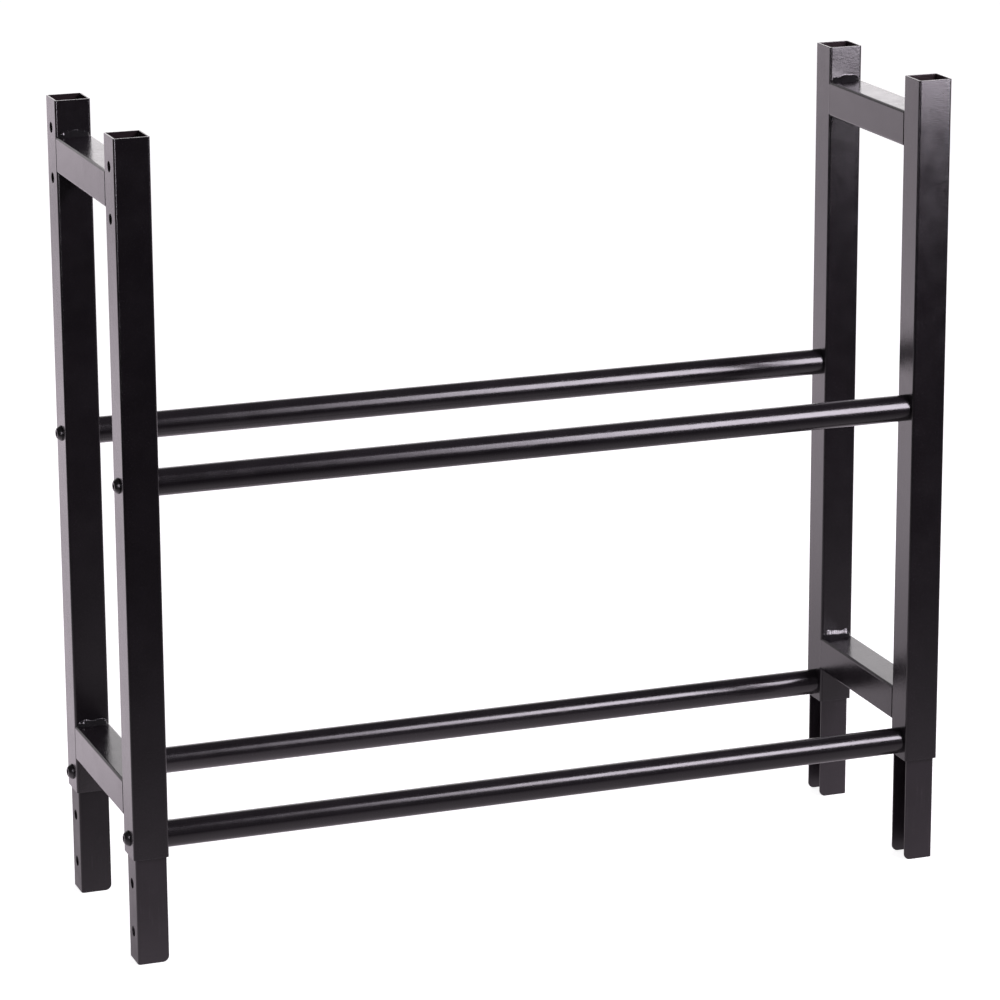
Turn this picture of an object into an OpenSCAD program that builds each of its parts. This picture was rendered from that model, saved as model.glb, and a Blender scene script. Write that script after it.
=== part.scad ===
// Firewood log rack: two welded end frames of square tube, joined by four round rails.
// A channel leg stands in the foot of each upright and slides down in its slot to level the rack.
// X runs along the rails, -Y is the front, +Z is up. The origin is on the floor, under the middle.

/* [Overall] */
// Length over the outer faces of the two end frames
rack_w = 964; // [700:2:1300]
// Depth over the front and rear uprights
rack_d = 278; // [220:2:400]
// Height of the uprights' tops above the floor
rack_h = 918; // [760:2:1200]
// Height of the uprights' lower ends above the floor
leg_show = 122; // [110:1:130]

/* [Square tube] */
// Side of the square tube
tube = 40; // [36:1:44]
// Wall of the square tube
tube_wall = 2; // [1.5:0.5:2.5]
// Outer corner radius of the square tube
tube_r = 2.8; // [2.6:0.2:3.6]

/* [Crossbars] */
// Upright's end to the nearest face of the crossbar
crossbar_inset = 40; // [30:1:60]
// Leg length of the fillet weld at a crossbar's end
weld_leg = 6; // [4:0.5:8]

/* [Rails] */
// Outer diameter of a round rail
rail_od = 30; // [25:1:32]
// Wall of a round rail
rail_wall = 1.5; // [1:0.5:2]
// Lower rails' axis above the uprights' lower ends
rail_rise = 20; // [18:1:24]
// Lower rails' axis to the upper rails' axis
rail_pitch = 398; // [250:2:500]
// Length of the threaded plug in a rail's end
plug_l = 20; // [16:1:30]

/* [Legs] */
// Gap between the leg and the upright's inner faces
leg_gap = 0.6; // [0.3:0.1:0.8]
// Sheet thickness of the channel leg
leg_t = 2; // [1.5:0.5:2.5]
// Outer bend radius of the channel
leg_bend_r = 3; // [2.6:0.2:4]
// Radius of the flanges' free corners
foot_r = 7; // [3:0.5:10]
// How far a leg slides down out of its upright
leg_travel = 55; // [30:1:60]

/* [Bolt holes] */
// Diameter of the stacking holes in the uprights' tops and in the legs
stack_hole_d = 12; // [10:0.5:13]
// Distance between a pair of stacking holes
stack_pitch = 56; // [50:1:60]
// Upright's end to the nearest stacking hole
stack_inset = 32.5; // [28:0.5:40]
// Diameter of the clearance hole for a rail screw
screw_hole_d = 11; // [10.5:0.5:12]

/* [Rail screws] */
// Thread diameter of a rail screw
screw_d = 10; // [8:1:10]
// Length of a rail screw under its head
screw_l = 60; // [55:1:65]
// Diameter of the button head
head_d = 17.5; // [16:0.5:18]
// Height of the button head
head_h = 5.5; // [4.4:0.1:6]
// Width of the hexagon socket across its flats
socket_af = 6; // [5:0.5:6]

/* [Hidden] */
$fn = 64;
LEFT = -1;
RIGHT = 1;
FRONT = -1;
REAR = 1;
LOWER = 0;
UPPER = 1;
COAT = "#242226";
SCREW_BLACK = "#141316";
ZINC = "#a9a9a4";
WELD = "#2d2a2f";

cut = 1;
upright_l = rack_h - leg_show;
upright_y = (rack_d - tube) / 2;
upright_x = (rack_w - tube) / 2;
rail_l = rack_w - 2 * tube;
rail_id = rail_od - 2 * rail_wall;
rail_z = [leg_show + rail_rise, leg_show + rail_rise + rail_pitch];
crossbar_l = rack_d - 2 * tube;
crossbar_z = [leg_show + crossbar_inset, rack_h - crossbar_inset - tube];
stack_top_z = rack_h - stack_inset;
stack_foot_z = leg_show - stack_inset;

leg_w = tube - 2 * tube_wall - 2 * leg_gap;
leg_x = tube_wall + leg_gap;
slot_end = 20;
leg_l = rail_z[LOWER] + leg_travel + screw_hole_d / 2 + slot_end;

plug_gap = 0.05;
plug_d = rail_id - 2 * plug_gap;
plug_bore_d = screw_d + 2 * plug_gap;

head_rim = 0.8;
head_top_r = socket_af / 2 + 1.7;
dome_z = (pow(head_top_r, 2) + pow(head_h, 2) - pow(head_d / 2, 2) - pow(head_rim, 2))
    / (2 * (head_h - head_rim));
dome_r = sqrt(pow(head_top_r, 2) + pow(head_h - dome_z, 2));
socket_depth = 3;
screw_chamfer = 1;
weld_l = tube - 2 * tube_r;

// Puts a left-hand piece, drawn from the outer face inwards (+X), on either end of the rack
module on_side(side) {
    mirror([side == RIGHT ? 1 : 0, 0, 0])
        translate([-rack_w / 2, 0, 0])
            children();
}

// Square with rounded corners, centred on the origin
module rounded_square(size, r) {
    square([size, size - 2 * r], center = true);
    square([size - 2 * r, size], center = true);
    for (x = [-1, 1], y = [-1, 1])
        translate([x * (size / 2 - r), y * (size / 2 - r)])
            circle(r);
}

// Section of the square tube, centred on the origin
module tube_section() {
    difference() {
        rounded_square(tube, tube_r);
        rounded_square(tube - 2 * tube_wall, tube_r - tube_wall);
    }
}

// Round bar along +X from x = 0
module bar_x(d, l) {
    rotate([0, 90, 0])
        cylinder(d = d, h = l);
}

module upright(side, face) {
    color(COAT)
        on_side(side)
            translate([0, face * upright_y, 0])
                difference() {
                    translate([tube / 2, 0, leg_show])
                        linear_extrude(upright_l)
                            tube_section();
                    for (z = rail_z)
                        translate([-cut, 0, z])
                            bar_x(screw_hole_d, tube + 2 * cut);
                    for (i = [0, 1])
                        translate([-cut, 0, stack_top_z - i * stack_pitch])
                            bar_x(stack_hole_d, tube_wall + 2 * cut);
                }
}

module crossbar(side, level) {
    color(COAT)
        on_side(side)
            translate([tube / 2, crossbar_l / 2, crossbar_z[level] + tube / 2])
                rotate([90, 0, 0])
                    linear_extrude(crossbar_l)
                        tube_section();
}

module rail(face, level) {
    color(COAT)
        translate([-rail_l / 2, face * upright_y, rail_z[level]])
            difference() {
                bar_x(rail_od, rail_l);
                translate([-cut, 0, 0])
                    bar_x(rail_id, rail_l + 2 * cut);
            }
}

// Solid plan of a channel: rounded at the web (x = 0), square and open-ended at x = depth
module channel_plan(width, depth, r) {
    translate([r, -width / 2])
        square([depth - r, width]);
    translate([0, -width / 2 + r])
        square([depth, width - 2 * r]);
    for (y = [-1, 1])
        translate([r, y * (width / 2 - r)])
            circle(r);
}

// Takes the square corner off both flanges at x = leg_w; up = 1 at the foot, -1 at the top
module corner_cutter(up) {
    difference() {
        translate([leg_w - foot_r, -leg_w / 2 - cut, up > 0 ? -cut : -foot_r])
            cube([foot_r + cut, leg_w + 2 * cut, foot_r + cut]);
        translate([leg_w - foot_r, -leg_w / 2 - 2 * cut, up * foot_r])
            rotate([-90, 0, 0])
                cylinder(r = foot_r, h = leg_w + 4 * cut);
    }
}

// Levelling slot: its lower end rests on the rail screw
module slot_cutter() {
    translate([-cut, 0, rail_z[LOWER]])
        bar_x(screw_hole_d, leg_t + 2 * cut);
    translate([-cut, 0, rail_z[LOWER] + leg_travel])
        bar_x(screw_hole_d, leg_t + 2 * cut);
    translate([-cut, -screw_hole_d / 2, rail_z[LOWER]])
        cube([leg_t + 2 * cut, screw_hole_d, leg_travel]);
}

module leg(side, face) {
    color(COAT)
        on_side(side)
            translate([leg_x, face * upright_y, 0])
                difference() {
                    linear_extrude(leg_l)
                        difference() {
                            channel_plan(leg_w, leg_w, leg_bend_r);
                            translate([leg_t, 0])
                                channel_plan(leg_w - 2 * leg_t, leg_w, leg_bend_r - leg_t);
                        }
                    corner_cutter(1);
                    translate([0, 0, leg_l])
                        corner_cutter(-1);
                    for (i = [0, 1])
                        translate([-cut, 0, stack_foot_z - i * stack_pitch])
                            bar_x(stack_hole_d, leg_t + 2 * cut);
                    slot_cutter();
                }
}

// Button-head socket screw: head outside the upright, shank through it into the rail's plug
module screw(side, face, level) {
    color(SCREW_BLACK)
        on_side(side)
            translate([0, face * upright_y, rail_z[level]])
                rotate([0, -90, 0])
                    difference() {
                        union() {
                            intersection() {
                                cylinder(d = head_d, h = head_h);
                                translate([0, 0, dome_z])
                                    sphere(dome_r);
                            }
                            translate([0, 0, -screw_l + screw_chamfer])
                                cylinder(d = screw_d, h = screw_l - screw_chamfer);
                            translate([0, 0, -screw_l])
                                cylinder(d1 = screw_d - 2 * screw_chamfer, d2 = screw_d, h = screw_chamfer);
                        }
                        translate([0, 0, head_h - socket_depth])
                            cylinder(r = socket_af / sqrt(3), h = socket_depth + cut, $fn = 6);
                    }
}

// Threaded plug fixed in a rail's end; the thread is left plain
module plug(side, face, level) {
    color(ZINC)
        on_side(side)
            translate([tube, face * upright_y, rail_z[level]])
                difference() {
                    bar_x(plug_d, plug_l);
                    translate([-cut, 0, 0])
                        bar_x(plug_bore_d, plug_l + 2 * cut);
                }
}

// Fillet welds over and under one end of a crossbar, along the upright's flat inner face
module weld(side, face, level) {
    color(WELD)
        on_side(side)
            for (up = [0, 1])
                translate([tube_r, face * crossbar_l / 2, crossbar_z[level] + up * tube])
                    mirror([0, face == REAR ? 1 : 0, 0])
                        mirror([0, 0, 1 - up])
                            rotate([90, 0, 90])
                                linear_extrude(weld_l)
                                    polygon([[0, 0], [weld_leg, 0], [0, weld_leg]]);
}

upright(LEFT, FRONT);  // upright_front_left
upright(LEFT, REAR);  // upright_rear_left
upright(RIGHT, FRONT);  // upright_front_right
upright(RIGHT, REAR);  // upright_rear_right

crossbar(LEFT, UPPER);  // crossbar_upper_left
crossbar(LEFT, LOWER);  // crossbar_lower_left
crossbar(RIGHT, UPPER);  // crossbar_upper_right
crossbar(RIGHT, LOWER);  // crossbar_lower_right

rail(FRONT, UPPER);  // rail_upper_front
rail(REAR, UPPER);  // rail_upper_rear
rail(FRONT, LOWER);  // rail_lower_front
rail(REAR, LOWER);  // rail_lower_rear

leg(LEFT, FRONT);  // leg_front_left
leg(LEFT, REAR);  // leg_rear_left
leg(RIGHT, FRONT);  // leg_front_right
leg(RIGHT, REAR);  // leg_rear_right

screw(LEFT, FRONT, UPPER);  // screw_upper_front_left
screw(LEFT, REAR, UPPER);  // screw_upper_rear_left
screw(RIGHT, FRONT, UPPER);  // screw_upper_front_right
screw(RIGHT, REAR, UPPER);  // screw_upper_rear_right
screw(LEFT, FRONT, LOWER);  // screw_lower_front_left
screw(LEFT, REAR, LOWER);  // screw_lower_rear_left
screw(RIGHT, FRONT, LOWER);  // screw_lower_front_right
screw(RIGHT, REAR, LOWER);  // screw_lower_rear_right

plug(LEFT, FRONT, UPPER);  // plug_upper_front_left
plug(LEFT, REAR, UPPER);  // plug_upper_rear_left
plug(RIGHT, FRONT, UPPER);  // plug_upper_front_right
plug(RIGHT, REAR, UPPER);  // plug_upper_rear_right
plug(LEFT, FRONT, LOWER);  // plug_lower_front_left
plug(LEFT, REAR, LOWER);  // plug_lower_rear_left
plug(RIGHT, FRONT, LOWER);  // plug_lower_front_right
plug(RIGHT, REAR, LOWER);  // plug_lower_rear_right

weld(LEFT, FRONT, UPPER);  // weld_upper_front_left
weld(LEFT, REAR, UPPER);  // weld_upper_rear_left
weld(RIGHT, FRONT, UPPER);  // weld_upper_front_right
weld(RIGHT, REAR, UPPER);  // weld_upper_rear_right
weld(LEFT, FRONT, LOWER);  // weld_lower_front_left
weld(LEFT, REAR, LOWER);  // weld_lower_rear_left
weld(RIGHT, FRONT, LOWER);  // weld_lower_front_right
weld(RIGHT, REAR, LOWER);  // weld_lower_rear_right
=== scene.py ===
"""Looks of the firewood log rack: powder coat, weld beads, studio and camera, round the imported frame."""

import math

import bmesh
import bpy
from mathutils import Matrix, Quaternion, Vector


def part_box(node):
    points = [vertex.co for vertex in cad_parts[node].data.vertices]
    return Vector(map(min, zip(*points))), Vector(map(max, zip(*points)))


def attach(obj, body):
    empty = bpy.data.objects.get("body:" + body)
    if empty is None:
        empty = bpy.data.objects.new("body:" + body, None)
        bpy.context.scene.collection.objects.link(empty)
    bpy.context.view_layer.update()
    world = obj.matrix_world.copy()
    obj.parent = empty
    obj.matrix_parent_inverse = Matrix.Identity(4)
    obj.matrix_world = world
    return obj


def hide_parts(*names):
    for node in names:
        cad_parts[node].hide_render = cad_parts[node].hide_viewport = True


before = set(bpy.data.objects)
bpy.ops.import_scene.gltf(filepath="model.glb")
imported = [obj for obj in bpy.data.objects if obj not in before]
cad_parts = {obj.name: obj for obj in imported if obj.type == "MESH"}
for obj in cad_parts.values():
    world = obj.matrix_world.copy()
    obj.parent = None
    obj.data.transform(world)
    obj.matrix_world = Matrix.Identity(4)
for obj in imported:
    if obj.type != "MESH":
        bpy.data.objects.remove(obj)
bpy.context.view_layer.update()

MM = 0.001
TUBE_CORNER = 2.8 * MM
LEVELS = ("upper", "lower")
FACES = {"front": -1, "rear": 1}
SIDES = {"left": -1, "right": 1}
JOINTS = [(level, face, side) for side in SIDES for level in LEVELS for face in FACES]

# ---------------------------------------------------------------- camera

EYE = Vector((-1.6428, -4.4453, 1.7624))
YAW = math.radians(20.2245)
PITCH = math.radians(15.5355)
ROLL = math.radians(-0.2811)
LENS = 156.388
SENSOR = 36.0


def make_camera():
    """The camera stands left of the middle at eye height and looks down at the rack."""
    ahead = Vector((math.sin(YAW) * math.cos(PITCH), math.cos(YAW) * math.cos(PITCH), -math.sin(PITCH)))
    right = Vector((math.cos(YAW), -math.sin(YAW), 0))
    up = right.cross(ahead)
    rolled_right = math.cos(ROLL) * right + math.sin(ROLL) * up
    rolled_up = math.cos(ROLL) * up - math.sin(ROLL) * right
    data = bpy.data.cameras.new("camera")
    data.lens = LENS
    data.sensor_width = SENSOR
    data.clip_end = 200
    camera = bpy.data.objects.new("camera", data)
    turn = Matrix((rolled_right, rolled_up, -ahead)).transposed()
    camera.matrix_world = Matrix.Translation(EYE) @ turn.to_4x4()
    bpy.context.scene.collection.objects.link(camera)
    bpy.context.scene.camera = camera


# ---------------------------------------------------------------- node helpers


class Tree:
    """A material's or world's node tree, with short calls to add and join nodes."""

    def __init__(self, owner):
        owner.use_nodes = True
        self.nodes = owner.node_tree.nodes
        self.links = owner.node_tree.links
        self.nodes.clear()

    def add(self, kind, **settings):
        node = self.nodes.new(kind)
        for name, value in settings.items():
            setattr(node, name, value)
        return node

    def set(self, socket, value):
        """Puts a number, a colour or another node's output on a socket."""
        if isinstance(value, bpy.types.NodeSocket):
            self.links.new(value, socket)
        elif hasattr(value, "__len__") and len(value) == 3 and socket.type == "RGBA":
            socket.default_value = (*value, 1)
        else:
            socket.default_value = value

    def math(self, operation, *values):
        node = self.add("ShaderNodeMath", operation=operation)
        for socket, value in zip(node.inputs, values):
            self.set(socket, value)
        return node.outputs[0]

    def ramp(self, value, *stops):
        """A colour ramp; each stop is (position, grey or colour)."""
        node = self.add("ShaderNodeValToRGB")
        self.set(node.inputs[0], value)
        while len(node.color_ramp.elements) < len(stops):
            node.color_ramp.elements.new(0.5)
        for element, (position, colour) in zip(node.color_ramp.elements, stops):
            element.position = position
            element.color = (*colour, 1) if hasattr(colour, "__len__") else (colour, colour, colour, 1)
        return node.outputs[0]

    def map(self, value, from_low, from_high, to_low, to_high):
        node = self.add("ShaderNodeMapRange")
        for socket, number in zip(node.inputs, (value, from_low, from_high, to_low, to_high)):
            self.set(socket, number)
        return node.outputs[0]

    def noise(self, place, size, detail=2.0, rough=0.5):
        """Noise whose lumps are about size metres across."""
        node = self.add("ShaderNodeTexNoise")
        self.set(node.inputs["Vector"], place)
        self.set(node.inputs["Scale"], 1 / size)
        self.set(node.inputs["Detail"], detail)
        self.set(node.inputs["Roughness"], rough)
        return node.outputs["Fac"]

    def stretched(self, place, scale):
        node = self.add("ShaderNodeMapping")
        self.set(node.inputs["Vector"], place)
        self.set(node.inputs["Scale"], scale)
        return node.outputs[0]

    def mix(self, share, a, b):
        node = self.add("ShaderNodeMix", data_type="RGBA")
        self.set(node.inputs[0], share)
        self.set(node.inputs[6], a)
        self.set(node.inputs[7], b)
        return node.outputs[2]

    def blend(self, *parts):
        """The sum of (socket, share) parts."""
        terms = [self.math("MULTIPLY", socket, share) for socket, share in parts]
        total = terms[0]
        for term in terms[1:]:
            total = self.math("ADD", total, term)
        return total

    def bump(self, height, distance, normal=None):
        node = self.add("ShaderNodeBump")
        self.set(node.inputs["Height"], height)
        self.set(node.inputs["Distance"], distance)
        if normal is not None:
            self.set(node.inputs["Normal"], normal)
        return node.outputs[0]

    def edges(self, radius):
        """0 on flat stretches, up to 1 along edges, and the normal with those edges rounded."""
        flat_cosine, edge_cosine = 0.98, 0.80
        bevel = self.add("ShaderNodeBevel", samples=6)
        self.set(bevel.inputs["Radius"], radius)
        own = self.add("ShaderNodeNewGeometry").outputs["Normal"]
        dot = self.add("ShaderNodeVectorMath", operation="DOT_PRODUCT")
        self.set(dot.inputs[0], bevel.outputs[0])
        self.set(dot.inputs[1], own)
        return self.map(dot.outputs["Value"], flat_cosine, edge_cosine, 0.0, 1.0), bevel.outputs[0]

    def light(self, kind, colour, strength):
        """An emission or background shader."""
        node = self.add(kind)
        self.set(node.inputs["Color"], colour)
        self.set(node.inputs["Strength"], strength)
        return node.outputs[0]

    def mix_shaders(self, share, a, b):
        node = self.add("ShaderNodeMixShader")
        for socket, value in zip(node.inputs, (share, a, b)):
            self.set(socket, value)
        return node.outputs[0]

    def surface(self, shader):
        self.set(self.add("ShaderNodeOutputMaterial").inputs["Surface"], shader)

    def principled(self, colour, roughness, normal, ior=None, metallic=0.0):
        """Ends a material's tree in a Principled shader."""
        shader = self.add("ShaderNodeBsdfPrincipled")
        self.set(shader.inputs["Base Color"], colour)
        self.set(shader.inputs["Roughness"], roughness)
        self.set(shader.inputs["Normal"], normal)
        self.set(shader.inputs["Metallic"], metallic)
        if ior is not None:
            self.set(shader.inputs["IOR"], ior)
        self.surface(shader.outputs[0])


def new_material(name):
    """A new material, its emptied node tree and its object coordinates."""
    material = bpy.data.materials.new(name)
    t = Tree(material)
    return material, t, t.add("ShaderNodeTexCoord").outputs["Object"]


# ---------------------------------------------------------------- materials

NOISE_LOW, NOISE_HIGH = 0.3, 0.7  # most of a noise's values lie between these
COAT_IOR = 1.60
# painted shade: this lower IOR dims the rear left leg's reflections, standing in for the shade under the rack
PAINTED_SHADE_LEG_IOR = 1.42
WELD_COAT_IOR = 1.75


def inside_tube(t, place):
    """1 on the inner faces of the four uprights, 0 on their outer faces."""
    low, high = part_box("upright_rear_right")
    at = t.add("ShaderNodeSeparateXYZ")
    t.set(at.inputs[0], place)
    depths = []
    for axis, centre in (("X", (low.x + high.x) / 2), ("Y", (low.y + high.y) / 2)):
        off = t.math("SUBTRACT", t.math("ABSOLUTE", at.outputs[axis]), centre)
        depths.append(t.math("ABSOLUTE", off))
    reach = (high.y - low.y) / 2
    in_full, not_at_all = reach - 1.8 * MM, reach - 1.2 * MM
    return t.map(t.math("MAXIMUM", *depths), in_full, not_at_all, 1, 0)


def powder_coat(name, colour, worn, rough, grain, peel, scuffs=0.0, inner=None, ior=COAT_IOR):
    """Semi-gloss powder coat: orange peel, a fine grain over it, and a thinner, paler film on the edges.

    rough is the mean roughness. grain is the size of the grains and peel the height of the relief, in metres.
    scuffs is the strength of the rub marks along Z, and inner the colour of the thin coat inside a tube.
    """
    material, t, place = new_material(name)
    on_edge, rounded = t.edges(0.8 * MM)

    waves = t.noise(place, 2.2 * grain, 1, 0.5)
    grains = t.noise(place, grain, 2, 0.5)
    dust = t.noise(place, 0.45 * grain, 1, 0.5)
    normal = t.bump(t.blend((waves, 0.8), (grains, 1.3), (dust, 0.35)), peel, rounded)

    cloud_size, patch_size, haze_size = 60 * MM, 5 * MM, 25 * MM
    clouds = t.noise(place, cloud_size, 3, 0.55)
    tone = t.mix(t.map(clouds, 0.35, 0.65, 0, 1), colour, [c * 1.25 + 0.0015 for c in colour])
    tone = t.mix(t.map(dust, 0.70, 0.78, 0, 0.5), tone, worn)
    patchy = t.map(t.noise(place, patch_size, 3, 0.6), 0.40, 0.62, 0, 0.5)
    tone = t.mix(t.math("MULTIPLY", on_edge, patchy), tone, worn)
    if inner:
        tone = t.mix(inside_tube(t, place), tone, inner)

    gloss = t.map(t.noise(place, haze_size, 3, 0.6), NOISE_LOW, NOISE_HIGH, rough - 0.03, rough + 0.04)
    gloss = t.math("SUBTRACT", gloss, t.math("MULTIPLY", on_edge, 0.05))
    if scuffs:
        line_width, rubbed_size = 0.9 * MM, 18 * MM
        lines = t.noise(t.stretched(place, (1, 1, 0.02)), line_width, 2, 0.6)
        rubbed = t.map(t.noise(place, rubbed_size, 2), 0.45, 0.6, 0, scuffs)
        rub = t.math("MULTIPLY", t.map(lines, 0.55, 0.72, 0, 1), rubbed)
        gloss = t.math("ADD", gloss, t.math("MULTIPLY", rub, 0.25))
        tone = t.mix(rub, tone, worn)

    t.principled(tone, gloss, normal, ior)
    return material


def weld_coat():
    """Thick glossy coat over a rippled bead, paler where it has run thin on the crests."""
    material, t, place = new_material("weld_coat_finish")
    lumps = t.noise(place, 1.6 * MM, 3, 0.6)
    pits = t.noise(place, 0.5 * MM, 2, 0.5)
    thick, thin = (0.012, 0.011, 0.013), (0.030, 0.028, 0.032)
    tone = t.mix(t.map(lumps, 0.5, 0.75, 0, 1), thick, thin)
    gloss = t.map(pits, NOISE_LOW, NOISE_HIGH, 0.11, 0.23)
    t.principled(tone, gloss, t.bump(t.blend((lumps, 1.0), (pits, 0.4)), 0.15 * MM), WELD_COAT_IOR)
    return material


def black_oxide():
    """Satin black screw head with a fine mottle and a paler rubbed rim."""
    material, t, place = new_material("screw_black_finish")
    on_edge, rounded = t.edges(0.35 * MM)
    grains = t.noise(place, 0.8 * MM, 2, 0.5)
    dark, pale, rubbed = (0.006, 0.005, 0.007), (0.014, 0.012, 0.015), (0.075, 0.060, 0.072)
    tone = t.mix(t.map(grains, 0.4, 0.7, 0, 1), dark, pale)
    tone = t.mix(t.math("MULTIPLY", on_edge, 0.3), tone, rubbed)
    gloss = t.map(grains, NOISE_LOW, NOISE_HIGH, 0.24, 0.34)
    t.principled(tone, gloss, t.bump(grains, 0.02 * MM, rounded), COAT_IOR)
    return material


def zinc():
    """Zinc-plated turned steel: fine rings round the plug's axis and a mottled passivated film."""
    material, t, place = new_material("plug_zinc_finish")
    rings = t.noise(t.stretched(place, (1, 0.02, 0.02)), 0.15 * MM, 2, 0.6)
    film = t.noise(place, 4 * MM, 3, 0.6)
    bare, passivated = (0.55, 0.56, 0.55), (0.68, 0.67, 0.62)
    tone = t.mix(t.map(film, 0.35, 0.65, 0, 1), bare, passivated)
    gloss = t.map(rings, NOISE_LOW, NOISE_HIGH, 0.24, 0.42)
    t.principled(tone, gloss, t.bump(rings, 0.02 * MM), metallic=1.0)
    return material


COAT = (0.0140, 0.0116, 0.0142)
LEG_COAT = (0.0205, 0.0158, 0.0205)
THIN_COAT = (0.075, 0.066, 0.076)
# painted shade: a darker copy of the leg coat for the rear left leg, standing in for the shade under the rack
PAINTED_SHADE_LEG_COAT = (0.0080, 0.0062, 0.0080)
INNER_COAT = (0.050, 0.036, 0.040)
FRAME_GLOSS = {"rough": 0.19, "grain": 1.4 * MM, "peel": 0.060 * MM}
RAIL_GLOSS = {"rough": 0.20, "grain": 1.6 * MM, "peel": 0.025 * MM}
LEG_GLOSS = {"rough": 0.34, "grain": 1.3 * MM, "peel": 0.055 * MM, "scuffs": 0.35}
# painted shade: the rear left leg's rougher, duller gloss, standing in for the shade under the rack
PAINTED_SHADE_LEG_GLOSS = {"rough": 0.36, "grain": 1.3 * MM, "peel": 0.055 * MM, "scuffs": 0.25, "ior": PAINTED_SHADE_LEG_IOR}
FINISHES = {
    "upright": powder_coat("frame_coat_finish", COAT, THIN_COAT, inner=INNER_COAT, **FRAME_GLOSS),
    "crossbar": powder_coat("crossbar_coat_finish", COAT, THIN_COAT, **FRAME_GLOSS),
    "rail": powder_coat("rail_coat_finish", COAT, THIN_COAT, **RAIL_GLOSS),
    "leg": powder_coat("leg_coat_finish", LEG_COAT, THIN_COAT, **LEG_GLOSS),
    # painted shade: the rear left leg gets a darker, duller copy of the leg coat
    "leg_rear_left": powder_coat("painted_shade_leg_coat_finish", PAINTED_SHADE_LEG_COAT, THIN_COAT, **PAINTED_SHADE_LEG_GLOSS),
    "weld": weld_coat(),
    "screw": black_oxide(),
    "plug": zinc(),
}
OWN_FINISH = {"leg_rear_left": "leg_rear_left"}  # this leg's coat is painted darker and duller than the others', as painted shade for its place under the rack
EDGE_ROUND = {"upright": 0.6 * MM, "crossbar": 0.4 * MM, "leg": 0.5 * MM}
SHARP_ANGLE = math.radians(60)


def finish_cad_nodes():
    """Gives each CAD node the finish of its kind, and rolls the coat over its cut ends and holes."""
    for name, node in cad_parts.items():
        kind = name.split("_")[0]
        finish = FINISHES[OWN_FINISH.get(name, kind)]
        for slot in node.material_slots:
            slot.material = finish
        if kind in EDGE_ROUND:
            rolled = node.modifiers.new("rolled_edges", "BEVEL")
            rolled.width = EDGE_ROUND[kind]
            rolled.segments = 3
            rolled.limit_method = "ANGLE"
            rolled.angle_limit = SHARP_ANGLE
            rolled.use_clamp_overlap = False
            rolled.harden_normals = False


# ---------------------------------------------------------------- weld beads

BEAD_STEPS = 110  # along a bead
BEAD_ARC = 18  # round its face
BURY = 0.3 * MM  # how far a bead is let into the two tubes
RIPPLE = 2.6 * MM  # from one ripple to the next
RIPPLE_HEIGHT = 0.3 * MM
END_SIZE = 0.22  # a bead's size at its two ends, as a share of its full size
LUMP_PLACE = (0.34, 0.60)  # shares of the bead's width and height
LUMP_FLATNESS = 0.45
LUMP_FACING = (0.22, -0.89, 0.40)
# Outlines of a bead's face: (share of its width, share of its height), from the upright down to the crossbar.
STEEP_FACE = ((0, 1), (0.10, 0.80), (0.24, 0.50), (0.60, 0.20), (1, 0))
FLAT_FACE = ((0, 1), (0.06, 0.86), (0.40, 0.52), (1, 0))
RIMMED_FACE = ((0, 1), (0.07, 0.74), (0.40, 0.50), (1, 0))
BEAD_FORMS = {  # height up the upright, width over the crossbar, waviness, outline, lumps of (place, radius)
    ("upper", "rear", "right"): (7.8 * MM, 8.0 * MM, 1.4, RIMMED_FACE, ()),
    ("lower", "rear", "right"): (9.0 * MM, 8.2 * MM, 1.0, STEEP_FACE, ()),
    ("upper", "rear", "left"): (6.4 * MM, 7.0 * MM, 1.0, FLAT_FACE, ((0.13, 2.6 * MM),)),
    ("lower", "rear", "left"): (
        6.4 * MM, 7.0 * MM, 1.0, FLAT_FACE, ((0.06, 1.8 * MM), (0.18, 2.3 * MM), (0.93, 1.8 * MM)),
    ),
}
PLAIN_BEAD = (6.2 * MM, 7.0 * MM, 1.0, FLAT_FACE, ())
UNDER_BEAD = (5.4 * MM, 6.4 * MM, 1.0, FLAT_FACE, ())
UNDER_INSET = 3.5 * MM


def smooth_outline(corners, steps):
    """Points along a smooth curve between the outline's ends, drawn towards the corners between them."""
    knots = [corners[0], *corners, corners[-1]]
    spans = len(knots) - 2
    points = []
    for k in range(steps + 1):
        place = spans * k / steps
        n = min(int(place), spans - 1)
        t = place - n
        weights = ((1 - t) ** 2 / 2, 0.5 + t * (1 - t), t ** 2 / 2)
        points.append([sum(w * knots[n + i][axis] for i, w in enumerate(weights)) for axis in (0, 1)])
    points[0] = list(corners[0])
    points[-1] = list(corners[-1])
    return points


def skin(mesh, rings):
    """Joins a row of rings of vertices into one closed shell."""
    count = len(rings[0])
    for a, b in zip(rings, rings[1:]):
        for k in range(count):
            mesh.faces.new((a[k], a[(k + 1) % count], b[(k + 1) % count], b[k]))
    mesh.faces.new(rings[0])
    mesh.faces.new(reversed(rings[-1]))


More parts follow.
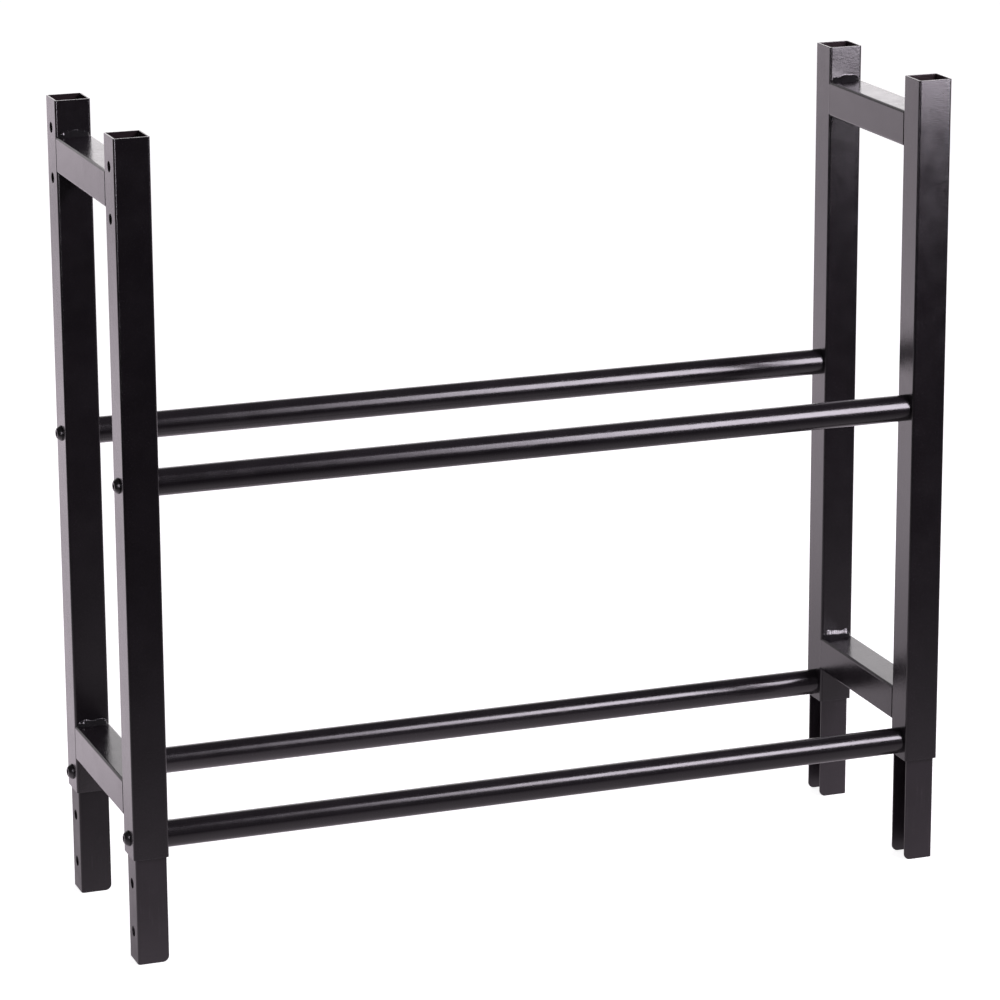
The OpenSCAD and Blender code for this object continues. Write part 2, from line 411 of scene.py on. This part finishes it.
def bead(mesh, x_low, x_high, corner, out, up, form, seed):
    """One fillet bead along X in the corner between a crossbar's face and an upright's face.

    corner is (y, z). out is +1 or -1 along Y, away from the upright, and up +1 or -1 along Z, away from the
    crossbar. seed shifts the waves in its outline.
    """
    tall, wide, waviness, outline, lumps = form
    length = x_high - x_low
    face = smooth_outline(outline, BEAD_ARC)
    rings = []
    for i in range(BEAD_STEPS + 1):
        s = i / BEAD_STEPS
        x = x_low + s * length
        round_end = END_SIZE + (1 - END_SIZE) * math.sqrt(max(0.0, 1 - abs(2 * s - 1) ** 6))
        foot_wave = 0.07 * math.sin(5.1 * s + seed) + 0.04 * math.sin(13.7 * s + 2.3 * seed)
        rise_wave = 0.12 * math.sin(8.3 * s + 1.7 * seed) + 0.07 * math.sin(17.0 * s - seed)
        foot = wide * round_end * (1 + foot_wave)
        rise = tall * round_end * (1 + waviness * rise_wave)
        ring = [(-BURY, -BURY)]
        for k in range(BEAD_ARC + 1):
            a = k / BEAD_ARC
            y_share, z_share = face[-1 - k]
            bow = math.sin(math.pi * a)
            phase = s * length / RIPPLE + 0.8 * bow + 0.08 * seed
            ripple = (phase - math.floor(phase)) ** 1.8
            lift = RIPPLE_HEIGHT * (ripple - 1 / 3) * bow * round_end
            y = foot * y_share + 0.6 * lift
            z = rise * z_share + 0.8 * lift
            ring.append((y - BURY * a, z - BURY * (1 - a)))
        rings.append([mesh.verts.new((x, corner[0] + out * y, corner[1] + up * z)) for y, z in ring])
    skin(mesh, rings)
    turn = Vector(LUMP_FACING).to_track_quat("Z", "Y").to_matrix().to_4x4()
    lump_y = corner[0] + out * LUMP_PLACE[0] * wide
    lump_z = corner[1] + up * LUMP_PLACE[1] * tall
    for place, radius in lumps:
        centre = (x_low + place * length, lump_y, lump_z)
        size = Matrix.Diagonal((radius, radius, LUMP_FLATNESS * radius, 1))
        shape = Matrix.Translation(centre) @ turn @ size
        bmesh.ops.create_uvsphere(mesh, u_segments=20, v_segments=12, radius=1, matrix=shape)


def piece_from(name, mesh, kind):
    """Links a finished bmesh as a smooth piece of the welded frame."""
    bmesh.ops.recalc_face_normals(mesh, faces=mesh.faces)
    data = bpy.data.meshes.new(name)
    mesh.to_mesh(data)
    mesh.free()
    data.shade_smooth()
    data.materials.append(FINISHES[kind])
    piece = bpy.data.objects.new(name, data)
    bpy.context.scene.collection.objects.link(piece)
    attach(piece, "frame")
    return piece


def weld_beads(level, face, side, seed):
    """The beads over and under one crossbar end, in place of the CAD node's plain triangles."""
    node = "weld_%s_%s_%s" % (level, face, side)
    low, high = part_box(node)
    bar_low, bar_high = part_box("crossbar_%s_%s" % (level, side))
    joint_y = bar_low.y if face == "front" else bar_high.y
    out = -FACES[face]
    form = BEAD_FORMS.get((level, face, side), PLAIN_BEAD)
    mesh = bmesh.new()
    bead(mesh, low.x, high.x, (joint_y, bar_high.z), out, 1, form, seed)
    under_low, under_high = low.x + UNDER_INSET, high.x - UNDER_INSET
    bead(mesh, under_low, under_high, (joint_y, bar_low.z), out, -1, UNDER_BEAD, seed + 3.1)
    piece = piece_from("bead_%s_%s_%s" % (level, face, side), mesh, "weld")
    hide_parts(node)


SEAM_STEPS = 40  # along a seam
SEAM_ARC = 8  # across it
SEAM_LAP = 0.9 * MM  # how far it runs onto the flats on both sides of the groove
SEAM_DEPTH = 2.2 * MM
SEAM_EDGE = 0.2 * MM  # how far its borders lie under the tubes' faces


def flush_seam(level, side):
    """The rear joint's seam on the rack's inner side, welded full and ground flush over the groove."""
    bar_low, bar_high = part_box("crossbar_%s_%s" % (level, side))
    post_low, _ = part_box("upright_rear_%s" % side)
    face_x = bar_low.x
    bar_end = bar_high.y
    post_flat = post_low.y + TUBE_CORNER
    start = bar_end - SEAM_LAP
    finish = post_flat + SEAM_LAP
    z_low = bar_low.z + 0.8 * TUBE_CORNER
    z_high = bar_high.z - 0.8 * TUBE_CORNER
    mesh = bmesh.new()
    rings = []
    for i in range(SEAM_STEPS + 1):
        s = i / SEAM_STEPS
        z = z_low + s * (z_high - z_low)
        fade = math.sqrt(max(0.0, 1 - abs(2 * s - 1) ** 8))
        proud = (0.10 + 0.03 * math.sin(23 * s) + 0.02 * math.sin(61 * s + 1)) * MM * fade
        ring = [(bar_end + SEAM_EDGE, face_x + SEAM_DEPTH), (start, face_x + SEAM_EDGE)]
        for k in range(SEAM_ARC + 1):
            a = k / SEAM_ARC
            y = start + a * (finish - start)
            ring.append((y, face_x + 0.03 * MM - proud * math.sin(math.pi * a)))
        ring.append((finish, face_x + SEAM_EDGE))
        rings.append([mesh.verts.new((x, y, z)) for y, x in ring])
    skin(mesh, rings)
    piece_from("seam_%s_rear_%s" % (level, side), mesh, "upright")


# ---------------------------------------------------------------- stage

SWEEP_TINT = (1.0, 0.895, 0.985)
WALL_TINT = (1.0, 0.965, 0.985)
LAMP_TINT = (0.97, 0.89, 1.0)
FLOOR_SIZE = 80
FLOOR_LIGHT = (  # how bright the floor shows in the coat: (distance behind (+) or before (-) the rack, light)
    (-2.0, 0.01), (-1.2, 0.05), (-0.7, 0.18), (-0.35, 0.33), (-0.06, 0.50), (0.06, 0.66),
    (0.3, 0.78), (0.55, 0.94), (1.2, 0.89), (1.6, 0.85), (2.1, 0.97), (3.3, 0.80), (3.9, 0.68), (4.25, 0.76),
    (4.6, 1.0),
)
SIDEWAYS_SLANT = 0.27
SIDEWAYS_RANGE = (-0.6, 0.4)  # X + SIDEWAYS_SLANT * Y, across which the light varies from left to right
SIDEWAYS_LIGHT = ((0.08, 0.86), (0.22, 0.92), (0.50, 1.0), (0.84, 0.87))  # (share of that range, light)
EDGE_SLANT = 0.35
LIT_EDGE = (-1.9, -1.1)  # X + EDGE_SLANT * Y, across which the floor's light fades out to the far left
FAR_LEFT_LIGHT = 0.12
SHADE_MIDDLE = (0.20, 0.45, 0)  # of the rack's own soft shade on the floor
SHADE_REACH = (0.25, 0.90)  # distances from there, between which the shade fades out
SHADE_LIGHT = 0.60  # what the shade leaves of the light
FLOOR_GAIN = 1.60
PAPER_GREYS = (0.80, 0.80, 0.80), (0.82, 0.82, 0.82)
PAPER_CLOUDS = 0.35
PAPER_GLOW = 0.88  # keeps the paper white to the camera outside the contact shadows
WHITE = (1, 1, 1)


def floor_in_coat(t, place):
    """How bright each place on the floor shows in the coat."""
    at = t.add("ShaderNodeSeparateXYZ")
    t.set(at.inputs[0], place)
    first, last = FLOOR_LIGHT[0][0], FLOOR_LIGHT[-1][0]
    stops = [((y - first) / (last - first), light) for y, light in FLOOR_LIGHT]
    lengthways = t.ramp(t.map(at.outputs["Y"], first, last, 0, 1), *stops)

    slant = t.math("ADD", at.outputs["X"], t.math("MULTIPLY", at.outputs["Y"], SIDEWAYS_SLANT))
    sideways = t.ramp(t.map(slant, *SIDEWAYS_RANGE, 0, 1), *SIDEWAYS_LIGHT)
    across = t.math("ADD", at.outputs["X"], t.math("MULTIPLY", at.outputs["Y"], EDGE_SLANT))
    lit_width = t.map(across, *LIT_EDGE, FAR_LEFT_LIGHT, 1.0)

    away = t.add("ShaderNodeVectorMath", operation="DISTANCE")
    t.set(away.inputs[0], place)
    t.set(away.inputs[1], SHADE_MIDDLE)
    own_shade = t.map(away.outputs["Value"], *SHADE_REACH, SHADE_LIGHT, 1.0)

    spread = t.math("MULTIPLY", t.math("MULTIPLY", lengthways, lit_width), sideways)
    return t.math("MULTIPLY", spread, t.math("MULTIPLY", own_shade, FLOOR_GAIN))


def make_floor():
    """A pale sweep, evenly lit for the camera. The coat mirrors it bright behind the rack, dim before it."""
    bpy.ops.mesh.primitive_plane_add(size=FLOOR_SIZE, location=(0, 0, 0))
    floor = bpy.context.object
    floor.name = "floor"
    material = bpy.data.materials.new("floor_paper")
    t = Tree(material)
    geometry = t.add("ShaderNodeNewGeometry")
    place = geometry.outputs["Position"]
    mirrored = t.light("ShaderNodeEmission", SWEEP_TINT, floor_in_coat(t, place))

    paper = t.add("ShaderNodeBsdfDiffuse")
    t.set(paper.inputs["Color"], t.mix(t.noise(place, PAPER_CLOUDS, 3, 0.5), *PAPER_GREYS))
    seen = t.add("ShaderNodeAddShader")
    t.set(seen.inputs[0], paper.outputs[0])
    t.set(seen.inputs[1], t.light("ShaderNodeEmission", WHITE, PAPER_GLOW))

    from_camera = t.add("ShaderNodeLightPath").outputs["Is Camera Ray"]
    top = t.mix_shaders(from_camera, mirrored, seen.outputs[0])
    clear = t.add("ShaderNodeBsdfTransparent").outputs[0]
    t.surface(t.mix_shaders(geometry.outputs["Backfacing"], top, clear))
    floor.data.materials.append(material)


DIM_STUDIO = (0.045, 0.042, 0.046)
WALL_LIGHT = 2.1
WALL_BEHIND = (0.15, 0.60)  # of a direction's Y, across which the wall comes in
WALL_TOP = (0.16, 0.62)  # of its Z, across which the wall fades out upwards
WALL_LEFT = (-0.50, 0.04)  # of its X, across which the wall comes in from the left


def make_world():
    """White to the camera. For the rack, a bright wall low down behind it, and a dim studio all round."""
    world = bpy.data.worlds.new("studio")
    bpy.context.scene.world = world
    t = Tree(world)
    way = t.add("ShaderNodeSeparateXYZ")
    t.set(way.inputs[0], t.add("ShaderNodeTexCoord").outputs["Generated"])
    behind = t.map(way.outputs["Y"], *WALL_BEHIND, 0, 1)
    low_down = t.map(way.outputs["Z"], *WALL_TOP, 1, 0)
    rightwards = t.map(way.outputs["X"], *WALL_LEFT, 0, 1)
    wall = t.math("MULTIPLY", t.math("MULTIPLY", behind, low_down), rightwards)
    tint = t.ramp(wall, (0.0, DIM_STUDIO), (1.0, WALL_TINT))
    studio = t.light("ShaderNodeBackground", tint, WALL_LIGHT)
    white = t.light("ShaderNodeBackground", WHITE, 1.0)
    from_camera = t.add("ShaderNodeLightPath").outputs["Is Camera Ray"]
    t.set(t.add("ShaderNodeOutputWorld").inputs["Surface"], t.mix_shaders(from_camera, studio, white))


def softbox(name, place, target, size, radiance, shape="RECTANGLE", roll=0.0, shift=0.0, shades=True,
            shines=True):
    """A studio light that the camera doesn't see. It can be left out of the coat's shade or of its gloss.

    shift moves it sideways in its own plane, to the right as seen from behind it.
    """
    data = bpy.data.lights.new(name, "AREA")
    data.shape = shape
    data.size, data.size_y = size
    area = size[0] * size[1] * (math.pi / 4 if shape == "ELLIPSE" else 1)
    data.energy = radiance * math.pi * area
    data.color = LAMP_TINT
    lamp = bpy.data.objects.new(name, data)
    lamp.rotation_mode = "QUATERNION"
    aim = (Vector(target) - Vector(place)).to_track_quat("-Z", "Y")
    turn = aim @ Quaternion((0, 0, 1), math.radians(roll))
    lamp.rotation_quaternion = turn
    lamp.location = Vector(place) + turn @ Vector((shift, 0, 0))
    lamp.visible_camera = False
    lamp.visible_diffuse = shades
    lamp.visible_glossy = shines
    bpy.context.scene.collection.objects.link(lamp)


GLOSS_RADIANCE = 12.7
GLOSS_HEIGHT = 1.65
GLOSS_STRIPS = (  # the right softbox dims to the left: each strip's two edges from the middle, and its light
    (-0.700, -0.525, 0.10), (-0.525, -0.330, 0.42), (-0.330, -0.150, 0.92), (-0.150, 0.525, 1.0),
)


def make_lights():
    """Soft shade from above. The gloss mirrors a tall tilted softbox, right, and a small round one, left."""
    softbox("shade_key", (1.55, -1.75, 2.75), (0.1, 0, 0.5), (1.1, 0.9), 18, shines=False)
    softbox("shade_top", (0.0, 1.2, 3.6), (0, 0.8, 0), (4.0, 2.0), 0.9, shines=False)
    for number, (left, right, share) in enumerate(GLOSS_STRIPS):
        softbox(
            "gloss_right_%d" % number, (0.94, -1.29, 1.56), (0.94, -0.31, 1.76), (right - left, GLOSS_HEIGHT),
            GLOSS_RADIANCE * share, roll=-11, shift=(left + right) / 2, shades=False,
        )
    softbox(
        "gloss_left", (-1.30, -1.15, 0.85), (-0.45, 0, 0.80), (0.6, 0.6), 9,
        shape="ELLIPSE", shades=False,
    )


# ---------------------------------------------------------------- the scene

make_camera()
make_world()
make_lights()
make_floor()
finish_cad_nodes()
for number, (level, face, side) in enumerate(JOINTS):
    weld_beads(level, face, side, 1.0 + 0.9 * number)
for level in LEVELS:
    flush_seam(level, "right")
bpy.context.scene.view_settings.view_transform = "Standard"
